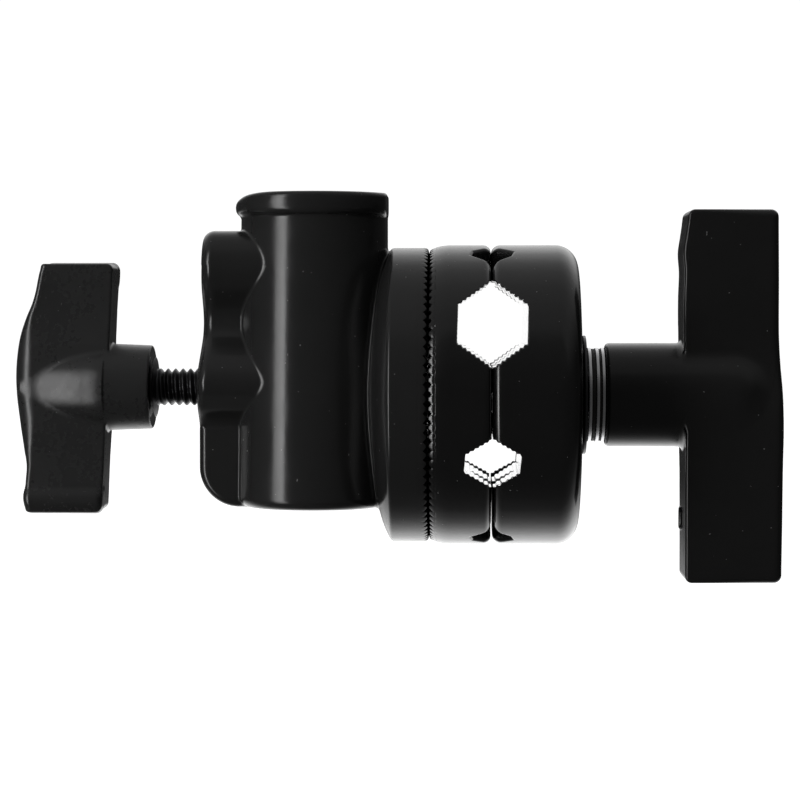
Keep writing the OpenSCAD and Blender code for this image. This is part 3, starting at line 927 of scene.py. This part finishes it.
FINISH = {
    "receiver_body": body_paint, "inner_jaw": jaw_paint, "outer_jaw": jaw_paint,
    "t_handle": handle_paint, "wing_knob": knob_paint,
    "main_stud": black_steel, "knob_stud": black_steel, "cone_washer": black_steel,
    "stud_lock_pin": bright_steel,
    "alignment_pin_front": bright_steel, "alignment_pin_back": bright_steel,
    "thrust_washer_inner": bright_steel, "thrust_washer_middle": bright_steel,
    "thrust_washer_outer": bright_steel, "knob_washer": black_steel,
    "friction_washer_inner": fibre, "friction_washer_outer": fibre,
    "jaw_spring": spring_steel, "knob_thread_insert": brass, "handle_thread_insert": brass,
    "pressure_pad": brass,
}
for name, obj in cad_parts.items():
    obj.data.materials.clear()
    obj.data.materials.append(FINISH[name])

# Grids in millimetres: COARSE over whole castings, FINE across the grooves
COARSE, FINE = 0.42, 0.2
receiver_piece = cast("receiver_casting", receiver,
                      steps(-25.4, 23.5, COARSE), steps(-31.8, 31.8, COARSE), steps(-31.8, 43.2, COARSE))
flange_teeth = tooth_ring("flange_teeth", 22.3, 24.16, 23.3, [
    (30.2, 24.16), (30.6, 24.08), (30.9, 23.95), (31.1, 23.7), (FLANGE_R, 23.3), (FLANGE_R, 22.6)], 1)
JAW_Y = steps(-32.2, 32.2, COARSE, FINE, ((-15.6, -6.2), (7.3, 21.7)))
JAW_Z = steps(-32.2, 32.2, COARSE, FINE, ((6.2, 24.0), (-18.3, -7.9)))
inner_piece = cast("inner_jaw_casting", inner_jaw, steps(24.8, 37.8, FINE), JAW_Y, JAW_Z, machined)
jaw_teeth = tooth_ring("jaw_teeth", 25.8, 24.24, 25.15, [
    (30.1, 24.24), (30.5, 24.35), (30.8, 24.55), (31.0, 24.9), (31.15, 25.3), (31.26, 25.7)], -1)
outer_piece = cast("outer_jaw_casting", outer_jaw, steps(37.0, 56.2, 0.25), JAW_Y, JAW_Z, machined)
handle_piece = cast("t_handle_casting", t_handle,
                    steps(60.8, 100.2, 0.4), steps(-11.6, 11.6, 0.4), steps(-40.4, 40.4, 0.4))
knob_piece = cast("wing_knob_casting", wing_knob,
                  steps(-65, -34.6, 0.33), steps(-10, 10, 0.33), steps(-29, 31, 0.33), hub_face)


def stud_radius(x, turn):
    """Head that sits in the flange, then the threaded shank."""
    head = 6.5 - np.maximum(0.3 - np.minimum(x - 9.6, 13.5 - x), 0)
    return np.where(x < 13.5, head, threaded(STUD_R, STUD_PITCH, 0.75, 9.6, 86, 52, 90, 1.0)(x, turn))


def on_screw(obj):
    """An object made about X, moved to the wing screw's axis."""
    obj.data.transform(Matrix.Translation((0, 0, SCREW_Z * MM)))
    return obj


def pin(name, y):
    return rod(name, 27, 48.5, plain(2, 27, 48.5, 0.4), (y, PIN_Z), 48)


screw_thread = threaded(SCREW_R, SCREW_PITCH, 0.72, -57, -11, -33.9, -10, 0.8)
parts = {
    "main_stud": rod("main_stud_turned", 9.6, 86, stud_radius, sides=56),
    "knob_stud": join(
        rod("knob_stud_turned", -57, -11, screw_thread, (0, SCREW_Z), 56),
        rod("knob_stud_neck", -11.5, -9.7, plain(1.9, -12, -9.7, 0.15), (0, SCREW_Z), 32)),
    "cone_washer": lathe("cone_washer_pressed",
                         bevelled([(5.2, 55.7), (12.6, 56.75), (12.6, 57.4), (5.2, 56.6)], 0.2)),
    "thrust_washer_inner": washer("thrust_washer_1", 5.2, 10, 57.75, 58.45),
    "friction_washer_inner": washer("friction_washer_1", 5.2, 9.8, 58.47, 59.33, 0.2),
    "thrust_washer_middle": washer("thrust_washer_2", 5.2, 10, 59.35, 60.05),
    "friction_washer_outer": washer("friction_washer_2", 5.2, 9.8, 60.07, 60.53, 0.2),
    "thrust_washer_outer": washer("thrust_washer_3", 5.2, 10, 60.55, 61.25),
    "alignment_pin_front": pin("alignment_pin_1", PIN_Y[0]),
    "alignment_pin_back": pin("alignment_pin_2", PIN_Y[1]),
    "jaw_spring": coil("jaw_spring_wound", 5.75, 0.45, 5, 30.3, 44.5),
    "knob_washer": on_screw(lathe("knob_washer_turned", [
        (4.0, -34.75), (6.2, -34.35), (6.4, -34.25), (6.2, -34.15), (4.0, -33.75)])),
    "pressure_pad": on_screw(lathe("pressure_pad_turned", bevelled([
        (1.95, -10.9), (3.1, -10.9), (3.1, -8.4), (0.05, -8.4), (0.05, -9.65), (1.95, -9.65)], 0.2))),
}

BODY = {
    "receiver_body": "receiver", "main_stud": "receiver", "inner_jaw": "inner_jaw",
    "alignment_pin_front": "inner_jaw", "alignment_pin_back": "inner_jaw", "jaw_spring": "inner_jaw",
    "outer_jaw": "outer_jaw", "t_handle": "t_handle", "wing_knob": "wing_knob",
    "knob_stud": "wing_knob", "knob_washer": "wing_knob", "pressure_pad": "pressure_pad",
}
castings = {
    "receiver_body": (receiver_piece, flange_teeth), "inner_jaw": (inner_piece, jaw_teeth),
    "outer_jaw": (outer_piece,), "t_handle": (handle_piece,), "wing_knob": (knob_piece,),
}
for node, pieces in [*castings.items(), *((name, (obj,)) for name, obj in parts.items())]:
    for obj in pieces:
        obj.data.materials.append(FINISH[node])
        if obj in (inner_piece, outer_piece, knob_piece):
            obj.data.materials.append(bare_metal)
        if node == "jaw_spring":
            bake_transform(obj)
        else:
            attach(obj, BODY.get(node, "thrust_stack"))
        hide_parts(node)
